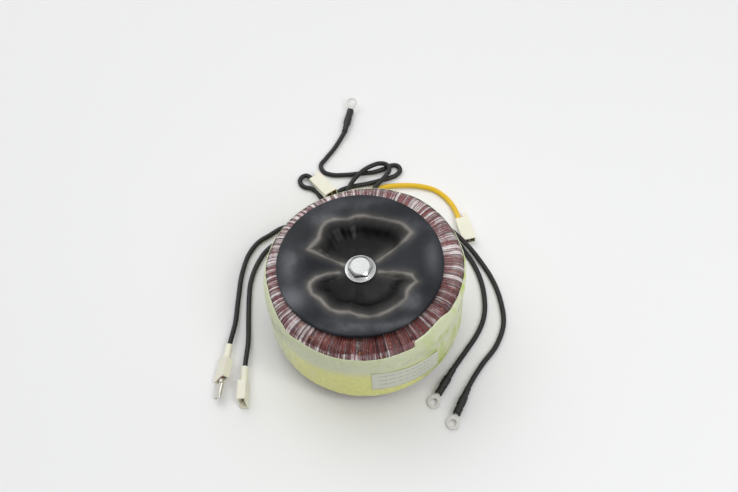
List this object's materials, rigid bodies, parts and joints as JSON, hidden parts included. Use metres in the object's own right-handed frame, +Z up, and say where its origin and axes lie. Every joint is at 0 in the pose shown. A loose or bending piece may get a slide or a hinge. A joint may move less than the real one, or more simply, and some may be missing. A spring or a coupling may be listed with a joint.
{
  "type": "toroidal transformer",
  "caption": "Wound ring transformer with taped side, rubber pads and a centre bolt, and loose leads that end in push-on housings and ring terminals.",
  "frame": {"origin": "on the floor, under the centre of the wound ring", "axes": "+Z up along the ring's own axis; -Y towards the viewer of the picture, so that the leads leave at the back (+Y)"},
  "size_m": [0.1745, 0.2399, 0.0652],
  "materials": {
    "silicon_steel": "bare silicon steel strip",
    "clear_polyester": "clear polyester film in many turns",
    "inner_wire": "enamelled copper, gloss",
    "outer_wire": "enamelled copper, dark red, gloss",
    "film": "clear crinkled film, gloss",
    "tape": "fluorescent yellow-green film tape, crinkled",
    "label_paper": "matt white label",
    "pad_rubber": "smooth neoprene, soft gloss",
    "zinc_steel": "bright zinc plate",
    "dark_steel": "plain spring steel",
    "lead_black": "PVC insulation, satin",
    "lead_yellow": "PVC insulation, satin",
    "nylon": "natural nylon, satin",
    "tin_bright": "bright tin plate",
    "tin_matt": "matt tin plate",
    "shrink": "heat-shrunk polyolefin, satin"
  },
  "bodies": {
    "root": {"wound_core": "silicon_steel", "core_insulation": "clear_polyester", "winding_insulation": "clear_polyester", "inner_winding": "inner_wire", "outer_winding": "outer_wire", "film_wrap": "film", "side_tape": "tape", "label": "label_paper", "top_pad": "pad_rubber", "bottom_pad": "pad_rubber", "mounting_dish": "zinc_steel", "flange_bolt": "zinc_steel", "flat_washer": "zinc_steel", "spring_washer": "dark_steel", "nut": "zinc_steel", "lead_left_outer": "lead_black", "lead_left_inner": "lead_black", "lead_right_outer": "lead_black", "lead_right_inner": "lead_black", "lead_back_ring": "lead_black", "lead_back_plug": "lead_black", "lead_yellow": "lead_yellow", "housing_left_outer": "nylon", "housing_left_inner": "nylon", "housing_back": "nylon", "housing_yellow": "nylon", "terminal_left_outer": "tin_bright", "terminal_left_inner": "tin_bright", "terminal_back": "tin_bright", "terminal_yellow": "tin_bright", "eye_right_outer": "tin_matt", "eye_right_inner": "tin_matt", "eye_back": "tin_matt", "shrink_right_outer": "shrink", "shrink_right_inner": "shrink", "shrink_back": "shrink"}
  },
  "joints": []
}
